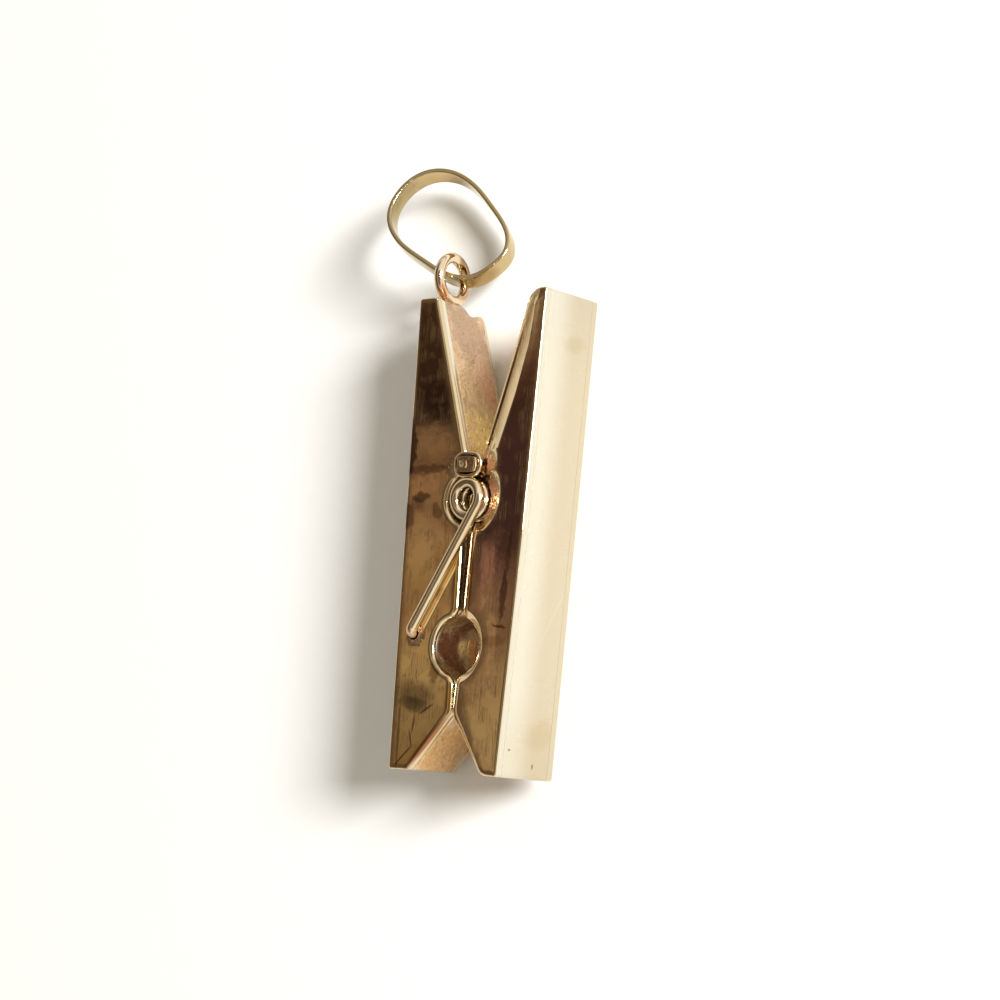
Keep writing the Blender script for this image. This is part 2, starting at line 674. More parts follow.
def tidy(obj, least=40):
    """Weld corners that coincide, then drop faces laid twice and loose crumbs."""
    bm = bmesh.new()
    bm.from_mesh(obj.data)
    bmesh.ops.remove_doubles(bm, verts=bm.verts, dist=1.5e-7)
    bm.verts.index_update()
    laid = {}
    for f in bm.faces:
        laid.setdefault(tuple(sorted(v.index for v in f.verts)), []).append(f)
    twice = [f for group in laid.values() if len(group) > 1 for f in group]
    if twice:
        bmesh.ops.delete(bm, geom=twice, context="FACES")
    bm.faces.ensure_lookup_table()
    bm.faces.index_update()
    done, crumbs = set(), []
    for f in bm.faces:
        if f.index in done:
            continue
        island, stack = [], [f]
        done.add(f.index)
        while stack:
            g = stack.pop()
            island.append(g)
            for v in g.verts:
                for h in v.link_faces:
                    if h.index not in done:
                        done.add(h.index)
                        stack.append(h)
        if len(island) < least:
            crumbs += island
    if crumbs:
        bmesh.ops.delete(bm, geom=crumbs, context="FACES")
    bm.to_mesh(obj.data)
    bm.free()
    obj.data.update()


def blob(name, balls, voxel, rough, seed, squash=None):
    """Lumpy solder: overlapping balls grown into one skin, working frame."""
    bm = bmesh.new()
    for x, y, z, r in balls:
        m = Matrix.Translation(Vector(work([(x, y, z)])[0])) @ Matrix.Scale(r * MM, 4)
        bmesh.ops.create_icosphere(bm, subdivisions=3, radius=1.0, matrix=m)
    mesh = bpy.data.meshes.new(name)
    bm.to_mesh(mesh)
    bm.free()
    obj = bpy.data.objects.new(name, mesh)
    bpy.context.scene.collection.objects.link(obj)
    mod = obj.modifiers.new("skin", "REMESH")
    mod.mode = "VOXEL"
    mod.voxel_size = voxel * MM
    mod.adaptivity = 0.0
    smooth = obj.modifiers.new("soften", "SMOOTH")
    smooth.factor = 0.6
    smooth.iterations = 5
    depsgraph = bpy.context.evaluated_depsgraph_get()
    final = bpy.data.meshes.new_from_object(obj.evaluated_get(depsgraph))
    obj.modifiers.clear()
    obj.data = final
    tidy(obj)
    count = len(final.vertices)
    co, no = np.empty(count * 3), np.empty(count * 3)
    final.vertices.foreach_get("co", co)
    final.vertices.foreach_get("normal", no)
    for i in range(count):
        q = Vector(co[3 * i:3 * i + 3]) / MM
        k = noise.noise(q * 3.2 + Vector((seed, 0, 0))) * 0.6 + noise.noise(q * 9.0 + Vector((0, seed, 0))) * 0.4
        co[3 * i:3 * i + 3] += no[3 * i:3 * i + 3] * (k * rough * MM)
    final.vertices.foreach_set("co", co)
    final.polygons.foreach_set("use_smooth", [True] * len(final.polygons))
    final.update()
    return obj


# ---------------------------------------------------------------- build the pieces
pieces = {}


def keep(obj, body, node):
    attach(obj, body)
    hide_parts(node)
    pieces[obj.name] = obj
    return obj


def hole_spot():
    """Leg hole in the working frame."""
    return (-2.85, -5.50, 0.36)


for side, body in (("left", "left_half"), ("right", "right_half")):
    use_side(side)
    for front in (True, False):
        node = "%s_%s_cover" % (side, "front" if front else "rear")
        hole = None
        if side == "left" and front:
            hole = (-2.85, -5.50, 0.36)
        if side == "right" and not front:
            hole = (2.85, -5.50, 0.36)
        seed = {"left_front_cover": 1.3, "left_rear_cover": 4.1, "right_front_cover": 6.7, "right_rear_cover": 9.2}[node]
        skin = cover(node + "_skin", side, front, seed, hole)
        if hole is None:
            tidy(skin)
        keep(skin, body, node)
    strip, plate = half_walls(side, 2.2 if side == "left" else 5.9)
    strip.name = side + "_inner_strip_skin"
    plate.name = side + "_back_plate_skin"
    keep(strip, body, side + "_inner_strip")
    keep(plate, body, side + "_back_plate")

# knuckles
H3 = (0.0, HINGE_Y, 0.0)


def shaped_tube(name, profile, center, shape_xy, seg=112):
    verts, faces = [], []
    k = len(profile)
    for i in range(seg):
        a = 2 * math.pi * i / seg
        for r, h in profile:
            x, y, z = shape_xy(r, h, a)
            verts.append([center[0] + x, center[1] + y, center[2] + z])
    for i in range(seg):
        j = (i + 1) % seg
        for p in range(k):
            q = (p + 1) % k
            faces.append((i * k + p, j * k + p, j * k + q, i * k + q))
    return make_mesh(name, work(verts), faces, sharp=32)


def front_tube(r, h, a):
    t = min(1.0, max(0.0, (h - 1.70) / 0.80))
    t = t * t * (3 - 2 * t)
    n = 2 + 0.7 * t
    c, s_ = math.cos(a), math.sin(a)
    k = (abs(c) ** n + abs(s_) ** n) ** (-1.0 / n)
    wob = 1 + 0.012 * t * math.sin(3 * a + 0.8)
    return (r + 0.30 * t) * c * k * wob, (r + 0.10 * t) * s_ * k * wob, h + 0.02 * t * math.cos(a - 0.6)


outline = [(0.47, 0.97), (0.60 - 0.05, 0.95), (0.59, 0.966), (0.60, 1.00)]
outline += [(0.60, z) for z in np.linspace(1.1, 2.36, 14)]
outline += [(0.60 - 0.13 * (1 - math.cos(math.radians(f))), 2.38 + 0.15 * math.sin(math.radians(f))) for f in (0, 15, 30, 45, 60, 75, 90)]
outline += [(0.445, 2.53), (0.430, 2.52), (0.422, 2.49), (0.418, 2.42)]
outline += [(0.41, z) for z in np.linspace(2.30, 1.0, 8)] + [(0.425, 0.95)]
keep(shaped_tube("left_front_knuckle_tube", outline, H3, front_tube), "left_half", "left_front_knuckle")
keep(lathe("left_rear_knuckle_tube", tube_profile(0.41, 0.60, -2.56, -0.95, 0.09), H3), "left_half", "left_rear_knuckle")
keep(lathe("right_middle_knuckle_tube", tube_profile(0.41, 0.60, -0.90, 0.90, 0.05), H3), "right_half", "right_middle_knuckle")


def pin_shape(r, h, a):
    """Round in the knuckles; the front end is spread to a rounded block with two slanting facets."""
    t = min(1.0, max(0.0, (h - 2.20) / 0.30))
    n = 2 + 2.2 * t
    c, s_ = math.cos(a + 0.06 * t), math.sin(a + 0.06 * t)
    k = (abs(c) ** n + abs(s_) ** n) ** (-1.0 / n)
    x, y = (r * (1 + 0.62 * t)) * c * k, r * (1 + 0.14 * t) * s_ * k
    z = h
    if h > 2.44:
        # a shallow hollow on the left, a raised tan facet on the right
        inside = max(0.0, 1 - (r / 0.34) ** 4)
        z += inside * (-0.075 * math.exp(-((x + 0.17) ** 2 / 0.035 + y * y / 0.05)) + 0.16 * max(0.0, x - 0.02) * 0.6
                       + 0.016 * noise.noise(Vector((x * 7, y * 7, 3.0))))
    return x, y, z


rows = [(0.0, -2.64), (0.12, -2.64), (0.24, -2.64), (0.31, -2.63), (0.35, -2.60), (0.375, -2.54), (0.38, -2.45)]
rows += [(0.38, z) for z in np.linspace(-2.3, 2.2, 9)]
rows += [(0.383, 2.30), (0.386, 2.40), (0.386, 2.50), (0.380, 2.55), (0.365, 2.585), (0.34, 2.60), (0.31, 2.60)]
rows += [(r, 2.595) for r in (0.28, 0.245, 0.21, 0.175, 0.14, 0.105, 0.07, 0.035, 0.0)]
keep(shaped_tube("hinge_pin_rod", rows, H3, pin_shape, seg=96), "left_half", "hinge_pin")

# solder at the hinge
balls = []
rng = np.random.default_rng(7)
for z in (1.35, 1.6, 1.85, 2.0):
    for ang in np.linspace(134, 236, 9):
        a = math.radians(ang + rng.uniform(-3, 3))
        rr = 0.675 + rng.uniform(-0.01, 0.03)
        balls.append((rr * math.cos(a), HINGE_Y + rr * math.sin(a), z + rng.uniform(-0.03, 0.03), 0.115 + rng.uniform(0, 0.03)))
for z in (-1.35, -1.6, -1.85, -2.05):
    for ang in np.linspace(118, 236, 9):
        a = math.radians(ang + rng.uniform(-3, 3))
        rr = 0.665 + rng.uniform(-0.01, 0.03)
        balls.append((rr * math.cos(a), HINGE_Y + rr * math.sin(a), z, 0.115 + rng.uniform(0, 0.03)))
keep(blob("left_hinge_solder_bead", balls, 0.03, 0.022, 1.7), "left_half", "left_hinge_solder")
balls = []
for z in np.linspace(-0.75, 0.75, 8):
    for ang in np.linspace(-50, 56, 10):
        a = math.radians(ang)
        for rr in (0.69, 0.86):
            balls.append((rr * math.cos(a) + 0.04, HINGE_Y + rr * math.sin(a), z, 0.13))
# rough web between the middle knuckle and the right half, clear of the left half when the jaws are open
for z in np.linspace(0.8, 1.55, 6):
    for x, y in ((0.46, 3.97), (0.56, 3.9), (0.68, 3.75), (0.56, 4.08), (0.66, 4.0)):
        balls.append((x + rng.uniform(-0.03, 0.03), y + rng.uniform(-0.03, 0.03), z - 0.25 * (4.3 - y) + rng.uniform(-0.03, 0.03), 0.125 + rng.uniform(0, 0.03)))
keep(blob("right_hinge_solder_bead", balls, 0.032, 0.030, 3.9), "right_half", "right_hinge_solder")

# spring
path, leg_corner = spring_points()
spring = sweep("torsion_spring_wire", path, 0.30, seg=32, wobble=0.012, seed=2)
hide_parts("torsion_spring")
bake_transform(spring)
pieces[spring.name] = spring

# eye: round wire bent into a loop, its plane along the half
EYE_R, EYE_W = 1.17, 0.300
eye_half = (3.344, TOP + 0.02 + 1.47, 0.0)
n = 128
loop = []
for i in range(n):
    a = 2 * math.pi * i / n
    loop.append([eye_half[0], eye_half[1] + EYE_R * math.cos(a), EYE_R * math.sin(a)])
loop = np.array(loop)
verts, faces = [], []
seg = 32
for i in range(n):
    a = 2 * math.pi * i / n
    out = np.array([0, math.cos(a), math.sin(a)])
    for s in range(seg):
        b = 2 * math.pi * s / seg
        w = EYE_W * (1 + 0.02 * noise.noise(Vector((3 * math.cos(a), 3 * math.sin(a), b))))
        verts.append(loop[i] + out * w * math.cos(b) + np.array([1, 0, 0]) * w * math.sin(b))
for i in range(n):
    j = (i + 1) % n
    for s in range(seg):
        u = (s + 1) % seg
        faces.append((i * seg + s, i * seg + u, j * seg + u, j * seg + s))
eye = make_mesh("eye_loop", to_row(np.array(verts), "left"), faces, sharp=60)
keep(eye, "left_half", "eye")
balls = []
ex, ey, ez = eye_half
foot_w = (to_row([(ex, TOP, 0)], "left")[0] / MM) - F
for ang in np.linspace(0, 360, 13)[:-1]:
    a = math.radians(ang)
    balls.append((foot_w[0] + 0.24 * math.cos(a), foot_w[1] + 0.03, 0.30 * math.sin(a), 0.17))
for ang in np.linspace(0, 360, 9)[:-1]:
    a = math.radians(ang)
    balls.append((foot_w[0] + 0.12 * math.cos(a), foot_w[1] + 0.10, 0.42 * math.sin(a), 0.15))
balls.append((foot_w[0], foot_w[1] + 0.06, 0.0, 0.27))
keep(blob("eye_solder_bead", balls, 0.03, 0.018, 5.5), "left_half", "eye_solder")

# oval band ring
U = np.array([0.808, -0.579, -0.111])
U /= np.linalg.norm(U)
NR = np.array([0.290, 0.227, 0.930])
NR = NR - U * (NR @ U)
NR /= np.linalg.norm(NR)
W = np.cross(NR, U)
RC = np.array([-4.75, 16.87, -0.44])
RING_A, RING_B, BAND, SHEET = 3.78, 2.42, 1.20, 0.25


def oval_table():
    """Opening of the ring, an oval with two flatter stretches, as a smooth periodic radius."""
    pts = np.array([(3.82, 0.05), (3.14, 1.46), (2.71, 1.80), (2.12, 2.08), (1.52, 2.22), (0.60, 2.32), (-0.43, 2.51), (-1.33, 2.61),
                    (-1.97, 2.50), (-2.45, 2.23), (-2.89, 1.83), (-3.50, 1.02), (-3.69, 0.31), (-3.66, -0.19), (-3.39, -0.94),
                    (-3.06, -1.39), (-2.63, -1.84), (-2.15, -2.11), (-1.51, -2.24), (-0.32, -2.15), (0.62, -2.21), (1.39, -2.10),
                    (2.26, -1.97), (2.92, -1.59), (3.35, -1.10), (3.67, -0.57)])
    t = np.unwrap(np.arctan2(pts[:, 1] * RING_A / RING_B, pts[:, 0]))
    q = np.hypot(pts[:, 0] / RING_A, pts[:, 1] / RING_B)
    design = [np.ones_like(t)]
    for k in range(1, 6):
        design += [np.cos(k * t), np.sin(k * t)]
    coef, *_ = np.linalg.lstsq(np.stack(design, 1), q, rcond=None)
    return coef


OVAL = oval_table()


def ring_inner(t):
    q = OVAL[0]
    for k in range(1, 6):
        q += OVAL[2 * k - 1] * math.cos(k * t) + OVAL[2 * k] * math.sin(k * t)
    return np.array([RING_A * math.cos(t) * q, RING_B * math.sin(t) * q])


def band_section():
    """Band section as (outward, along the axis), eased edges and a slightly crowned outside."""
    out = []
    e = 0.06
    for cx, cz, a0 in ((SHEET - e, BAND / 2 - e, 0), (e, BAND / 2 - e, 90), (e, -BAND / 2 + e, 180), (SHEET - e, -BAND / 2 + e, 270)):
        for i in range(5):
            a = math.radians(a0 + 22.5 * i)
            out.append((cx + e * math.cos(a), cz + e * math.sin(a)))
        if a0 == 90:
            for z in np.linspace(BAND / 2 - e, -BAND / 2 + e, 9)[1:-1]:
                out.append((0.0, z))
        if a0 == 270:
            for z in np.linspace(-BAND / 2 + e, BAND / 2 - e, 9)[1:-1]:
                out.append((SHEET + 0.012 * (1 - (z / (BAND / 2)) ** 2), z))
    return out


def band(name, t0, t1, steps, closed_ends, grow=0.0, seed=0.0, lump=0.0):
    verts, faces = [], []
    section = band_section()
    k = len(section)
    for i in range(steps + 1):
        t = t0 + (t1 - t0) * i / steps
        p = ring_inner(t)
        q = ring_inner(t + 1e-3) - ring_inner(t - 1e-3)
        q /= np.linalg.norm(q)
        out = np.array([q[1], -q[0]])
        for o, z in section:
            oo = o - SHEET / 2
            g = 1 + grow
            zz = z * g
            oo = SHEET / 2 + oo * g
            if lump:
                oo += lump * noise.noise(Vector((t * 40, z * 5, seed)))
            if seed and not lump:
                oo += 0.006 * noise.noise(Vector((t * 2.2, z * 1.2, seed)))
            flat = p + out * oo
            verts.append(RC + U * flat[0] + W * flat[1] + NR * zz)
    for i in range(steps):
        for s in range(k):
            u = (s + 1) % k
            faces.append((i * k + s, i * k + u, (i + 1) * k + u, (i + 1) * k + s))
    faces.append(tuple(range(k))[::-1])
    faces.append(tuple(range(steps * k, (steps + 1) * k)))
    return make_mesh(name, work(verts), faces, sharp=40)


SEAM_T = math.radians(163.0)
# parameter angle of the joint, and half of its width in parameter
mid = ring_inner(SEAM_T)
rate = np.linalg.norm(ring_inner(SEAM_T + 1e-3) - ring_inner(SEAM_T - 1e-3)) / 2e-3
gap = 0.05 / rate
ring_band_obj = band("jump_ring_band", SEAM_T + gap, SEAM_T + 2 * math.pi - gap, 300, True, seed=4.4)
keep(ring_band_obj, "ring", "jump_ring")
seam_obj = band("ring_solder_line", SEAM_T - gap * 1.5, SEAM_T + gap * 1.5, 10, True, grow=0.012, seed=8.0, lump=0.008)
keep(seam_obj, "ring", "ring_solder")


# ---------------------------------------------------------------- materials
class Nodes:
    """Small helper for node trees."""

    def __init__(self, tree):
        self.tree = tree
        tree.nodes.clear()

    def new(self, kind, **inputs):
        node = self.tree.nodes.new(kind)
        for key, value in inputs.items():
            if key.startswith("_"):
                setattr(node, key[1:], value)
                continue
            self.set(node, key.replace("__", " "), value)
        return node

    def set(self, node, key, value):
        socket = node.inputs[int(key[1:])] if key[0] == "i" and key[1:].isdigit() else node.inputs[key]
        if isinstance(value, bpy.types.NodeSocket):
            self.tree.links.new(value, socket)
        else:
            socket.default_value = value

    def math(self, op, a, b=None, c=None, clamp=False):
        node = self.tree.nodes.new("ShaderNodeMath")
        node.operation = op
        node.use_clamp = clamp
        for i, v in enumerate((a, b, c)):
            if v is not None:
                self.set(node, "i%d" % i, v)
        return node.outputs[0]

    def vec(self, op, a, b=None, scale=None):
        node = self.tree.nodes.new("ShaderNodeVectorMath")
        node.operation = op
        self.set(node, "i0", a)
        if b is not None:
            self.set(node, "i1", b)
        if scale is not None:
            self.set(node, "Scale", scale)
        return node.outputs["Value"] if op in ("DOT_PRODUCT", "LENGTH", "DISTANCE") else node.outputs["Vector"]

    def mix(self, factor, a, b, blend="MIX"):
        node = self.tree.nodes.new("ShaderNodeMix")
        node.data_type = "RGBA"
        node.blend_type = blend
        node.clamp_factor = True
        self.set(node, "i0", factor)
        self.set(node, "i6", a)
        self.set(node, "i7", b)
        return node.outputs[2]

    def remap(self, value, lo, hi, out_lo=0.0, out_hi=1.0, smooth=True):
        node = self.tree.nodes.new("ShaderNodeMapRange")
        node.interpolation_type = "SMOOTHSTEP" if smooth else "LINEAR"
        node.clamp = True
        for key, v in (("Value", value), ("From Min", lo), ("From Max", hi), ("To Min", out_lo), ("To Max", out_hi)):
            self.set(node, key, v)
        return node.outputs["Result"]

    def noise(self, vector, scale, detail=2.0, rough=0.5, distortion=0.0, color=False):
        node = self.tree.nodes.new("ShaderNodeTexNoise")
        self.set(node, "Vector", vector)
        self.set(node, "Scale", scale)
        self.set(node, "Detail", detail)
        self.set(node, "Roughness", rough)
        self.set(node, "Distortion", distortion)
        return node.outputs["Color" if color else "Fac"]

    def mapping(self, vector, rotation=(0, 0, 0), scale=(1, 1, 1), location=(0, 0, 0)):
        node = self.tree.nodes.new("ShaderNodeMapping")
        self.set(node, "Vector", vector)
        node.inputs["Rotation"].default_value = rotation
        node.inputs["Scale"].default_value = scale
        node.inputs["Location"].default_value = location
        return node.outputs[0]


def scratches(n, vector, angle, across, along, width, plane="z"):
    """Fine straight lines: a stretched noise cut at its middle value."""
    rot = (0, 0, angle) if plane == "z" else (angle, 0, 0)
    scale = (across, along, 1.0) if plane == "z" else (1.0, across, along)
    m = n.mapping(vector, rotation=rot, scale=scale)
    f = n.noise(m, 1.0, detail=1.0, rough=0.4)
    d = n.math("ABSOLUTE", n.math("SUBTRACT", f, 0.5))
    return n.remap(d, 0.0, width, 1.0, 0.0)


VIEW_ROWS = np.array([[0.8127, 0.08071, -0.57707], [-0.00667, -0.98901, -0.14772], [-0.58265, 0.1239, -0.80323]])
VIEW_SHIFT = np.array([-0.52682506, 1.78008882, 115.34875252])
PALE = (0.655, 0.580, 0.440)


def gold(name, base, deep, rough=0.10, rough_var=0.10, scratch=0.5, plane="z", dents=0.5, stain=0.3,
         spots=(), pits=0.0, side_pale=0.0, fine=1.0, marks=(), grade=False, around=False):
    """Worn polished gold.

    base is the clean metal, deep the tone of tarnished or fire-stained patches.
    spots are (x, y, z, radius mm, colour, amount, roughness) in the working frame."""
    mat = bpy.data.materials.new(name)
    mat.use_nodes = True
    n = Nodes(mat.node_tree)
    coord = n.new("ShaderNodeTexCoord").outputs["Object"]
    mm = n.vec("SUBTRACT", n.vec("SCALE", coord, scale=1000.0), tuple(F))
    # tone: broad drift, then tarnish in patches
    broad = n.noise(mm, 0.35, 3.0, 0.55)
    fine_n = n.noise(mm, 2.3, 4.0, 0.6)
    speck = n.noise(mm, 9.0, 3.0, 0.6)
    patch = n.remap(broad, 0.50, 0.72)
    patch = n.math("MULTIPLY", patch, n.remap(fine_n, 0.32, 0.62))
    tone = n.mix(n.math("MULTIPLY", patch, stain), (*base, 1), (*deep, 1))
    tone = n.mix(n.remap(speck, 0.60, 0.78, 0.0, 0.22 * stain), tone, (deep[0] * 0.6, deep[1] * 0.55, deep[2] * 0.5, 1))
    rough_v = n.remap(fine_n, 0.3, 0.75, rough, rough + rough_var)
    rough_v = n.math("ADD", rough_v, n.math("MULTIPLY", patch, 0.10 * stain))
    # scratches in three directions
    total = None
    for ang, across, along, width, gain in ((0.35, 5.0, 0.16, 0.010, 1.0), (-0.55, 6.5, 0.20, 0.008, 0.8), (1.25, 4.0, 0.22, 0.007, 0.6), (0.05, 14.0, 0.30, 0.016, 0.35)):
        s = n.math("MULTIPLY", scratches(n, mm, ang, across * fine, along, width, plane), gain)
        total = s if total is None else n.math("MAXIMUM", total, s)
    breakup = n.remap(n.noise(mm, 0.9, 2.0, 0.5), 0.45, 0.62)
    total = n.math("MULTIPLY", total, breakup)
    rough_v = n.math("ADD", rough_v, n.math("MULTIPLY", total, 0.18 * scratch))
    pit_mask = None
    wander = n.math("SUBTRACT", n.noise(mm, 1.5, 4.0, 0.65), 0.5) if spots else None
    for x, y, z, radius, colour, amount, extra in spots:
        d = n.vec("DISTANCE", mm, (x, y, z))
        d = n.math("ADD", d, n.math("MULTIPLY", wander, 1.5 * radius))
        m = n.remap(d, radius * 0.45, radius * 1.05, amount, 0.0)
        tone = n.mix(m, tone, (*colour, 1))
        rough_v = n.math("ADD", rough_v, n.math("MULTIPLY", m, extra))
        pit_mask = m if pit_mask is None else n.math("MAXIMUM", pit_mask, m)
    if pits:
        grit = n.remap(n.noise(mm, 7.0, 3.0, 0.6), 0.53, 0.62)
        tone = n.mix(n.math("MULTIPLY", n.math("MULTIPLY", grit, pit_mask if pit_mask is not None else 1.0), 0.45), tone, (0.36, 0.15, 0.09, 1))
    if grade:
        part = n.new("ShaderNodeSeparateXYZ", Vector=mm).outputs["Z"]
        tone = n.mix(n.remap(part, 0.1, 2.0), tone, (0.78, 0.745, 0.63, 1))
    if marks:
        # smudges and dull marks left by handling, laid out on the projection from the viewer's side
        q = [n.math("ADD", n.vec("DOT_PRODUCT", mm, tuple(r.tolist())), float(o)) for r, o in zip(VIEW_ROWS, VIEW_SHIFT)]
        u = n.math("MULTIPLY_ADD", n.math("DIVIDE", q[0], q[2]), 2200.0, 500.0)
        v = n.math("MULTIPLY_ADD", n.math("DIVIDE", q[1], q[2]), 2200.0, 500.0)
        jag = n.noise(mm, 2.2, 4.0, 0.65, color=True)
        off = n.new("ShaderNodeSeparateXYZ", Vector=n.vec("SCALE", n.vec("SUBTRACT", jag, (0.5, 0.5, 0.5)), scale=9.0))
        uu, vv = n.math("ADD", u, off.outputs["X"]), n.math("ADD", v, off.outputs["Y"])
        near = n.remap(n.new("ShaderNodeSeparateXYZ", Vector=mm).outputs["Z"], 1.2, 1.6)
        if grade or around:
            near = 1.0
        for cx, cy, rx, ry, angle, soft, colour, amount, steady in marks:
            ca, sa = math.cos(math.radians(angle)), math.sin(math.radians(angle))
            dx, dy = n.math("SUBTRACT", u if steady else uu, cx), n.math("SUBTRACT", v if steady else vv, cy)
            a = n.math("ADD", n.math("MULTIPLY", dx, ca / rx), n.math("MULTIPLY", dy, sa / rx))
            b = n.math("ADD", n.math("MULTIPLY", dx, -sa / ry), n.math("MULTIPLY", dy, ca / ry))
            r = n.math("SQRT", n.math("ADD", n.math("MULTIPLY", a, a), n.math("MULTIPLY", b, b)))
            m = n.math("MULTIPLY", n.remap(r, 1.0 - soft * 0.5, 1.0 + soft * 0.5, amount, 0.0), near)
            tone = n.mix(m, tone, (*colour, 1), blend="MULTIPLY")
    # relief
    height = n.math("MULTIPLY", n.noise(mm, 0.8, 2.0, 0.5), 0.030 * dents)
    height = n.math("ADD", height, n.math("MULTIPLY", n.noise(mm, 5.0, 3.0, 0.5), 0.0016 * dents))
    height = n.math("SUBTRACT", height, n.math("MULTIPLY", total, 0.0022 * scratch))
    vor = n.new("ShaderNodeTexVoronoi", Vector=mm, Scale=1.4)
    vor.feature = "F1"
    dots = n.remap(vor.outputs["Distance"], 0.02, 0.085, 1.0, 0.0)
    dots = n.math("MULTIPLY", dots, n.remap(n.noise(mm, 0.6, 1.0), 0.55, 0.6))
    height = n.math("SUBTRACT", height, n.math("MULTIPLY", dots, 0.012 * dents))
    tone = n.mix(n.math("MULTIPLY", dots, 0.55 * dents), tone, (deep[0] * 0.35, deep[1] * 0.3, deep[2] * 0.25, 1))
    if pits:
        mask = pit_mask if pit_mask is not None else 1.0
        rough_pits = n.noise(mm, 7.5, 5.0, 0.65)
        cells = n.new("ShaderNodeTexVoronoi", Vector=mm, Scale=6.5)
        ridge = n.math("ADD", n.math("MULTIPLY", rough_pits, 0.8), n.math("MULTIPLY", cells.outputs["Distance"], 0.5))
        height = n.math("ADD", height, n.math("MULTIPLY", n.math("MULTIPLY", ridge, mask), 0.055 * pits))
    bump = n.new("ShaderNodeBump", Height=height, Strength=1.0, Distance=0.001)
    if side_pale:
        # the rims that face outwards carry a brighter, paler polish
        nx = n.new("ShaderNodeSeparateXYZ", Vector=n.new("ShaderNodeTexCoord").outputs["Normal"]).outputs["X"]
        front = n.remap(n.new("ShaderNodeSeparateXYZ", Vector=mm).outputs["Z"], 0.5, 1.0)
        facing = n.math("MULTIPLY", n.remap(n.math("ABSOLUTE", nx), 0.75, 0.97), front)
        tone = n.mix(n.remap(n.math("ABSOLUTE", nx), 0.75, 0.97), tone, (*PALE, 1))
        tone = n.mix(n.math("MULTIPLY", facing, side_pale), tone, (0.78, 0.745, 0.63, 1))
        rough_v = n.math("ADD", rough_v, n.math("MULTIPLY", n.remap(n.math("ABSOLUTE", nx), 0.75, 0.97), 0.10))
    bsdf = n.new("ShaderNodeBsdfPrincipled", Metallic=1.0, Roughness=n.math("MINIMUM", rough_v, 0.6), Normal=bump.outputs["Normal"])
    n.set(bsdf, "Base Color", tone)
    out = n.new("ShaderNodeOutputMaterial")
    n.tree.links.new(bsdf.outputs[0], out.inputs["Surface"])
    return mat


GOLD = (0.800, 0.645, 0.400)
YELLOW = GOLD
COPPER = (0.700, 0.380, 0.230)
BROWN = (0.460, 0.270, 0.140)
GREENISH = (0.760, 0.680, 0.360)
ROSE = (0.860, 0.600, 0.420)

hinge_spot = [(1.15, 3.3, 2.2, 0.62, (0.90, 0.60, 0.42), 0.85, 0.30), (1.38, 2.1, 2.2, 0.75, (0.86, 0.50, 0.36), 0.85, 0.34),
              (1.35, 0.9, 2.2, 0.65, (0.84, 0.46, 0.33), 0.75, 0.30), (0.75, 3.95, 2.1, 0.45, (0.90, 0.64, 0.44), 0.8, 0.25),
              (-0.80, 3.3, 2.1, 0.70, (0.74, 0.56, 0.36), 0.5, 0.22)]
leg_spot = [(-2.65, -5.62, 2.1, 0.55, (0.66, 0.42, 0.29), 0.65, 0.20)]
DULL = (0.30, 0.26, 0.27)
# centre, half lengths, angle, softness, tone, amount, steady outline
face_marks = [
    (407, 446, 10, 33, 3, 0.25, (0.26, 0.23, 0.24), 0.95, 0), (421, 497, 9, 4.5, -4, 0.45, (0.26, 0.23, 0.24), 0.85, 0), (418, 505, 7, 6, 20, 0.8, (0.55, 0.50, 0.50), 0.7, 0),
    (407, 516, 8, 13, 0, 0.5, (0.36, 0.32, 0.33), 0.85, 0), (437, 511, 4.5, 9, -18, 0.5, (0.5, 0.45, 0.44), 0.9, 0),
    (430, 469, 20, 4, -2, 0.7, (0.52, 0.46, 0.45), 0.8, 0), (438, 400, 15, 20, 0, 0.6, (0.62, 0.58, 0.58), 0.7, 0),
    (434, 672, 5, 12, 6, 0.6, (0.42, 0.40, 0.38), 0.85, 0), (414, 694, 17, 12, 4, 1.1, (0.42, 0.43, 0.43), 0.9, 0),
    (413, 704, 14, 7, 12, 0.9, (0.36, 0.35, 0.38), 0.85, 0), (426, 709, 9, 1.0, -36, 0.8, DULL, 0.85, 1),
    (413, 724, 1.0, 9, 10, 0.8, DULL, 0.85, 1), (410, 738, 1.0, 8, -6, 0.8, DULL, 0.85, 1), (403, 755, 1.0, 13, 42, 0.8, DULL, 0.85, 1),
    (398, 735, 1.3, 34, 4, 0.8, (0.36, 0.30, 0.30), 0.7, 1), (427, 741, 36, 3.4, 128.8, 0.9, (0.46, 0.25, 0.17), 0.95, 1), (449, 697, 3.5, 17, 3, 0.8, (1.0, 0.84, 0.48), 0.9, 1),
    (458, 576, 4.5, 38, 2, 0.8, (1.0, 0.84, 0.48), 0.9, 1), (469.5, 574, 3.2, 38, 4, 0.6, (0.62, 0.34, 0.18), 0.9, 1),
    (503, 596, 3.2, 26, 6, 0.5, (0.34, 0.31, 0.32), 0.9, 0), (509, 552, 2.0, 26, 6, 0.6, (0.70, 0.48, 0.46), 0.7, 0),
    (499, 626, 7, 1.6, 8, 0.5, (0.36, 0.26, 0.22), 0.9, 0), (492, 641, 12, 6, 0, 0.8, (0.70, 0.58, 0.56), 0.7, 0),
    (440, 594, 4, 7, 30, 0.7, (0.70, 0.62, 0.55), 0.6, 0), (446, 530, 1.6, 40, 3, 0.8, (0.62, 0.55, 0.5), 0.5, 0),
]
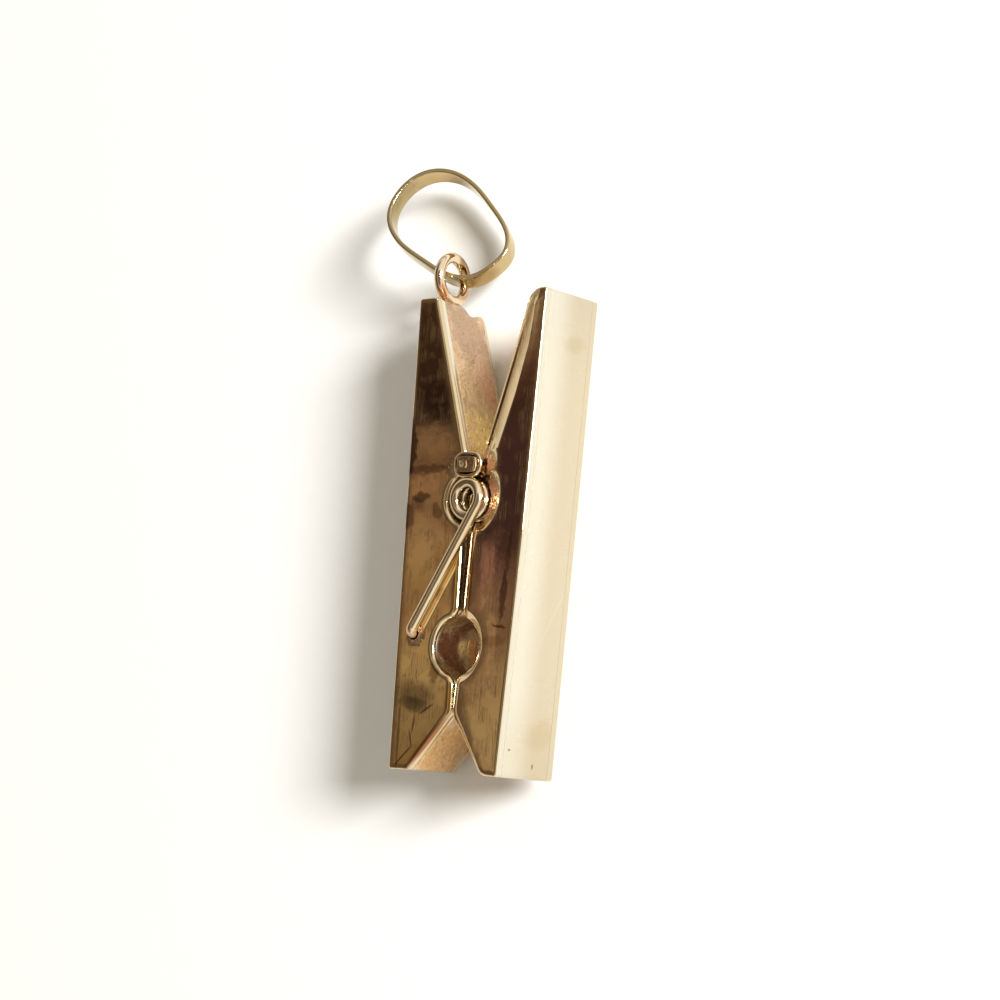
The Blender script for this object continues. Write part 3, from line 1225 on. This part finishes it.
back_marks = [
    (509, 750, 1.3, 1.2, 0, 0.6, (0.45, 0.36, 0.28), 0.9, 1), (532, 767, 0.9, 2.6, 8, 0.6, (0.45, 0.36, 0.28), 0.9, 1),
    (553, 617, 40, 0.55, 115.7, 1.0, (1.12, 1.08, 0.96), 0.9, 1), (540, 735, 16, 12, -50, 1.0, (0.93, 0.89, 0.82), 0.8, 0),
    (575, 345, 10, 8, 0, 1.0, (0.92, 0.87, 0.80), 0.8, 0), (525, 772, 40, 50, 0, 1.2, (0.96, 0.92, 0.86), 0.8, 0),
]
mat_cover = gold("cover_gold_worn", YELLOW, BROWN, rough=0.026, rough_var=0.03, scratch=0.35, dents=0.07, stain=0.16,
                 spots=hinge_spot + leg_spot, pits=1.3, side_pale=0.85, marks=face_marks)
mat_back = gold("back_gold_worn", PALE, (0.66, 0.54, 0.38), rough=0.15, rough_var=0.10, scratch=0.9, plane="x", dents=0.30, stain=0.3,
                marks=back_marks, grade=True)
mat_strip = gold("strip_gold_worn", (0.72, 0.545, 0.34), COPPER, rough=0.20, rough_var=0.14, scratch=0.8, plane="x", dents=0.7, stain=0.7,
                 spots=[(-2.05, 11.2, 0.0, 2.6, (0.49, 0.34, 0.235), 0.9, 0.04), (-1.45, 8.0, 0.8, 1.5, (0.88, 0.65, 0.40), 0.8, 0.0),
                        (-1.75, 8.9, -1.1, 1.5, (0.80, 0.54, 0.385), 0.85, 0.10),
                        (-1.35, 7.5, -1.1, 1.1, (0.72, 0.42, 0.26), 0.75, 0.12), (0.9, 3.0, 0.0, 1.5, (0.55, 0.30, 0.17), 0.8, 0.15),
                        (-1.7, -6.1, 0.9, 1.35, (0.22, 0.08, 0.04), 0.95, 0.05), (-1.2, -4.9, 0.0, 0.9, (0.26, 0.11, 0.05), 0.9, 0.06),
                        (-1.2, -7.2, 0.2, 0.9, (0.28, 0.12, 0.05), 0.9, 0.06), (-1.75, -6.0, -0.45, 0.60, (1.0, 0.78, 0.36), 0.95, 0.0),
                        (-1.7, -6.2, -1.6, 1.0, (0.86, 0.47, 0.17), 0.9, 0.02), (-1.2, -11.7, 0.4, 2.4, (0.70, 0.42, 0.165), 0.95, 0.0), (-0.55, 5.2, 0.2, 1.9, (1.0, 0.77, 0.34), 0.95, 0.0),
                        (-0.9, -11.9, -2.1, 1.0, (0.30, 0.15, 0.06), 0.85, 0.0)],
                 pits=0.8)
mat_hinge = gold("hinge_gold_worn", (0.80, 0.66, 0.44), BROWN, rough=0.06, rough_var=0.07, scratch=0.5, dents=0.25, stain=0.5)
mat_spring = gold("spring_gold_worn", (0.80, 0.67, 0.46), COPPER, rough=0.05, rough_var=0.06, scratch=0.4, dents=0.2, stain=0.35,
                  spots=[(-2.85, -5.4, 2.2, 0.70, (0.70, 0.44, 0.33), 0.7, 0.10)], pits=0.3)
eye_marks = [
    (467, 266, 5.5, 12, -22, 0.6, (0.42, 0.30, 0.20), 0.9, 1), (441, 292, 7.5, 9, 0, 0.8, (0.78, 0.56, 0.42), 0.9, 1),
    (464, 293, 6.5, 8, 0, 0.8, (0.58, 0.43, 0.30), 0.8, 1), (454, 253.5, 5, 2.6, 0, 0.8, (0.80, 0.70, 0.50), 0.6, 1),
]
ring_marks = [
    (484, 279, 16, 7, -35, 0.9, (0.62, 0.50, 0.36), 0.85, 1), (445, 178, 22, 5.5, 0, 0.9, (1.0, 0.82, 0.68), 0.7, 1),
]
mat_eye = gold("eye_gold_worn", (0.80, 0.655, 0.47), (0.66, 0.38, 0.22), rough=0.05, rough_var=0.06, scratch=0.3, dents=0.25, stain=0.4,
               marks=eye_marks, around=True)
mat_ring = gold("ring_gold_worn", (0.545, 0.440, 0.235), (0.36, 0.25, 0.11), rough=0.06, rough_var=0.08, scratch=0.6, dents=0.25, stain=0.5,
                marks=ring_marks, around=True)
mat_solder = gold("solder_rough", (0.66, 0.48, 0.30), (0.40, 0.23, 0.13), rough=0.24, rough_var=0.2, scratch=0.1, dents=0.8, stain=1.0,
                  spots=[(0, 3.3, 0, 6.0, (0.60, 0.42, 0.26), 0.8, 0.05)], pits=0.9)

by_slot = {"cover_gold": mat_cover, "back_gold": mat_back, "strip_gold": mat_strip, "hinge_gold": mat_hinge,
           "spring_gold": mat_spring, "eye_gold": mat_eye, "ring_gold": mat_ring, "solder": mat_solder}
for name, obj in pieces.items():
    obj.data.materials.clear()
    if "cover" in name:
        obj.data.materials.append(mat_cover)
    elif "back_plate" in name:
        obj.data.materials.append(mat_back)
    elif "inner_strip" in name:
        obj.data.materials.append(mat_strip)
    elif "solder" in name:
        obj.data.materials.append(mat_solder)
    elif "knuckle" in name or "pin" in name:
        obj.data.materials.append(mat_hinge)
    elif "spring" in name:
        obj.data.materials.append(mat_spring)
    elif "eye" in name:
        obj.data.materials.append(mat_eye)
    else:
        obj.data.materials.append(mat_ring)

# ---------------------------------------------------------------- floor, light, camera
mesh = bpy.data.meshes.new("floor")
s = 3.0
mesh.from_pydata([(-s, -s, 0), (s, -s, 0), (s, s, 0), (-s, s, 0)], [], [(0, 1, 2, 3)])
floor = bpy.data.objects.new("floor", mesh)
bpy.context.scene.collection.objects.link(floor)
mat = bpy.data.materials.new("paper")
mat.use_nodes = True
n = Nodes(mat.node_tree)
coord = n.new("ShaderNodeTexCoord").outputs["Object"]
grain = n.noise(coord, 900.0, 3.0, 0.6)
tint = n.mix(grain, (0.91, 0.91, 0.905, 1), (0.94, 0.94, 0.935, 1))
# polished metal sees the sheet of paper end and the table begin
far = n.remap(n.vec("DISTANCE", coord, tuple(F * MM)), 0.035, 0.085)
seen = n.new("ShaderNodeLightPath").outputs["Is Glossy Ray"]
tint = n.mix(n.math("MULTIPLY", far, seen), tint, (0.33, 0.26, 0.18, 1))
bsdf = n.new("ShaderNodeBsdfPrincipled", Roughness=0.85)
n.set(bsdf, "Base Color", tint)
bsdf.inputs["Specular IOR Level"].default_value = 0.1
out = n.new("ShaderNodeOutputMaterial")
n.tree.links.new(bsdf.outputs[0], out.inputs["Surface"])
mesh.materials.append(mat)

CENTER = np.array([0.0, 0.0, 0.0]) + F
KEY_DIR = np.array([0.85, 0.235, 0.475])
KEY_DIR /= np.linalg.norm(KEY_DIR)


def area(name, direction, distance, size, energy, color, shape="DISK"):
    data = bpy.data.lights.new(name, "AREA")
    data.shape = shape
    data.size = size
    data.energy = energy
    data.color = color
    obj = bpy.data.objects.new(name, data)
    d = Vector(direction).normalized()
    obj.location = Vector(CENTER * MM) + d * distance
    obj.rotation_euler = d.to_track_quat("Z", "Y").to_euler()
    bpy.context.scene.collection.objects.link(obj)
    return obj


area("key", KEY_DIR, 0.80, 0.27, 11.0, (1.0, 0.995, 0.985))

world = bpy.data.worlds.new("studio")
bpy.context.scene.world = world
world.use_nodes = True
world.cycles.sampling_method = "NONE"
n = Nodes(world.node_tree)
d = n.new("ShaderNodeTexCoord").outputs["Generated"]
xyz = n.new("ShaderNodeSeparateXYZ", Vector=d)


def lin(c):
    c = np.array(c, float) / 255.0
    return np.where(c <= 0.04045, c / 12.92, ((c + 0.055) / 1.055) ** 2.4)


def room(c):
    """Tone that the room must have for worn gold to show the given tone."""
    return tuple((lin(c) / np.array(GOLD)).tolist()) + (1.0,)


def mirror_plane(normal):
    """Room directions as places on the picture plane, as a flat mirror with that normal shows them."""
    normal = np.array(normal, float)
    normal /= np.linalg.norm(normal)
    rows = [r - 2 * (r @ normal) * normal for r in VIEW_ROWS]
    q = [n.vec("DOT_PRODUCT", d, tuple(r.tolist())) for r in rows]
    front = n.remap(q[2], 0.5, 0.6)
    x = n.math("DIVIDE", q[0], n.math("MAXIMUM", q[2], 0.2))
    y = n.math("DIVIDE", q[1], n.math("MAXIMUM", q[2], 0.2))
    x = n.math("MULTIPLY_ADD", x, 2200.0, 500.0)
    y = n.math("MULTIPLY_ADD", y, 2200.0, 500.0)
    both = n.new("ShaderNodeCombineXYZ", X=x, Y=y).outputs[0]
    w1 = n.noise(both, 0.07, 3.0, 0.6, color=True)
    shift = n.vec("SCALE", n.vec("SUBTRACT", w1, (0.5, 0.5, 0.5)), scale=14.0)
    warped = n.vec("ADD", both, shift)
    split = n.new("ShaderNodeSeparateXYZ", Vector=warped)
    return split.outputs["X"], split.outputs["Y"], front, both


def ladder(value, stops, lo, hi):
    ramp = n.new("ShaderNodeValToRGB", Fac=n.remap(value, lo, hi, 0.0, 1.0, smooth=False))
    els = ramp.color_ramp.elements
    els[0].position, els[0].color = 0.0, room(stops[0][1])
    els[1].position, els[1].color = 1.0, room(stops[-1][1])
    for at, c in stops[1:-1]:
        e = els.new((at - lo) / (hi - lo))
        e.color = room(c)
    return ramp.outputs["Color"]


def blot(col, x, y, cx, cy, rx, ry, angle, soft, colour, amount=1.0):
    ca, sa = math.cos(math.radians(angle)), math.sin(math.radians(angle))
    dx, dy = n.math("SUBTRACT", x, cx), n.math("SUBTRACT", y, cy)
    u = n.math("ADD", n.math("MULTIPLY", dx, ca / rx), n.math("MULTIPLY", dy, sa / rx))
    v = n.math("ADD", n.math("MULTIPLY", dx, -sa / ry), n.math("MULTIPLY", dy, ca / ry))
    r = n.math("SQRT", n.math("ADD", n.math("MULTIPLY", u, u), n.math("MULTIPLY", v, v)))
    return n.mix(n.remap(r, 1.0 - soft * 0.5, 1.0 + soft * 0.5, amount, 0.0), col, room(colour))


def window(x, y, x0, x1, y0, y1, soft):
    m = n.math("MULTIPLY", n.remap(x, x0 - soft, x0 + soft), n.remap(x, x1 - soft, x1 + soft, 1.0, 0.0))
    k = n.math("MULTIPLY", n.remap(y, y0 - soft, y0 + soft), n.remap(y, y1 - soft, y1 + soft, 1.0, 0.0))
    return n.math("MULTIPLY", m, k)


# the room as polished metal sees it
right = n.remap(xyz.outputs["X"], -0.45, 0.35)
left_tone = n.mix(n.remap(xyz.outputs["Z"], 0.02, 0.14), (0.36, 0.27, 0.18, 1), (0.86, 0.80, 0.70, 1))
left_tone = n.mix(n.remap(xyz.outputs["Z"], 0.30, 0.46), left_tone, (0.17, 0.12, 0.08, 1))
sky = n.mix(right, left_tone, (1.06, 1.03, 0.97, 1))
zenith = n.remap(xyz.outputs["Z"], 0.90, 0.985)
sky = n.mix(zenith, sky, (0.80, 0.74, 0.64, 1))
overhead = n.vec("DOT_PRODUCT", d, (0.300, -0.050, 0.9526))
sky = n.mix(n.remap(overhead, 0.80, 0.93), sky, (0.22, 0.17, 0.115, 1))
# whoever stands over the table
centre = np.array([-0.69, 0.12, 0.71])
centre /= np.linalg.norm(centre)
near = n.vec("DOT_PRODUCT", d, tuple(centre.tolist()))
sky = n.mix(n.remap(near, 0.86, 0.945), sky, (0.13, 0.085, 0.055, 1))

x, y, front, raw = mirror_plane((0, 0, 1))
left_col = ladder(y, [(290, (56, 36, 22)), (345, (50, 32, 18)), (385, (46, 29, 19)), (414, (42, 28, 18)), (422, (64, 44, 29)),
                      (430, (112, 80, 50)), (450, (124, 89, 54)), (461, (104, 72, 44)), (467, (80, 53, 35)), (475, (96, 66, 42)),
                      (481, (140, 100, 60)), (492, (134, 96, 58)), (505, (118, 84, 52)), (520, (134, 98, 60)), (545, (152, 114, 68)),
                      (595, (136, 100, 56)), (630, (146, 106, 60)), (665, (160, 126, 74)), (684, (148, 114, 68)), (725, (132, 102, 60)),
                      (780, (124, 92, 48))], 290, 780)
for args in [(446, 556, 8, 12, 0, 1.0, (120, 86, 48))]:
    left_col = blot(left_col, x, y, *args)
raw_xyz = n.new("ShaderNodeSeparateXYZ", Vector=raw)
sky = n.mix(n.math("MULTIPLY", window(raw_xyz.outputs["X"], raw_xyz.outputs["Y"], 366, 486, 255, 810, 14), front), sky, left_col)

x, y, front, raw = mirror_plane((-math.sin(ROLL), 0, math.cos(ROLL)))
right_col = ladder(y, [(290, (150, 118, 80)), (325, (116, 84, 56)), (350, (78, 48, 32)), (385, (56, 34, 22)), (420, (62, 38, 30)),
                       (480, (57, 34, 27)), (520, (58, 37, 28)), (545, (66, 42, 30)), (560, (88, 57, 43)), (575, (104, 70, 50)),
                       (600, (116, 80, 53)), (622, (108, 76, 48)), (640, (120, 85, 55)), (660, (140, 106, 67)), (700, (154, 120, 73)),
                       (740, (159, 126, 79)), (780, (146, 114, 70))], 290, 780)
for args in [(482, 558, 13, 34, 2, 0.9, (140, 92, 68)), (484, 640, 12, 60, 2, 1.0, (150, 114, 72))]:
    right_col = blot(right_col, x, y, *args)
raw_xyz = n.new("ShaderNodeSeparateXYZ", Vector=raw)
sky = n.mix(n.math("MULTIPLY", window(raw_xyz.outputs["X"], raw_xyz.outputs["Y"], 452, 570, 262, 810, 10), front), sky, right_col)

path_node = n.new("ShaderNodeLightPath")
glossy = path_node.outputs["Is Glossy Ray"]
col = n.mix(glossy, (0.42, 0.385, 0.325, 1), sky)
col = n.mix(path_node.outputs["Is Camera Ray"], col, (1.0, 1.0, 1.0, 1))
bg = n.new("ShaderNodeBackground", Color=col, Strength=1.0)
out = n.new("ShaderNodeOutputWorld")
n.tree.links.new(bg.outputs[0], out.inputs["Surface"])

cam = bpy.data.cameras.new("camera")
cam.sensor_fit = "HORIZONTAL"
cam.sensor_width = 36.0
cam.lens = 36.0 * 2200.0 / 1000.0
cam.clip_start = 0.001
cam.clip_end = 20.0
camera = bpy.data.objects.new("camera", cam)
bpy.context.scene.collection.objects.link(camera)
R0 = Vector((0.8127, 0.08071, -0.57707)).normalized()
R1 = Vector((-0.00667, -0.98901, -0.14772)).normalized()
R2 = Vector((-0.58265, 0.1239, -0.80323)).normalized()
pose = Matrix((R0, -R1, -R2)).transposed().to_4x4()
pose.translation = Vector(work([(67.64745543, -12.48875386, 92.61011699)])[0])
camera.matrix_world = pose
bpy.context.scene.camera = camera

view = bpy.context.scene.view_settings
view.view_transform = "Standard"
view.look = "None"
view.exposure = 0.0
view.gamma = 1.0
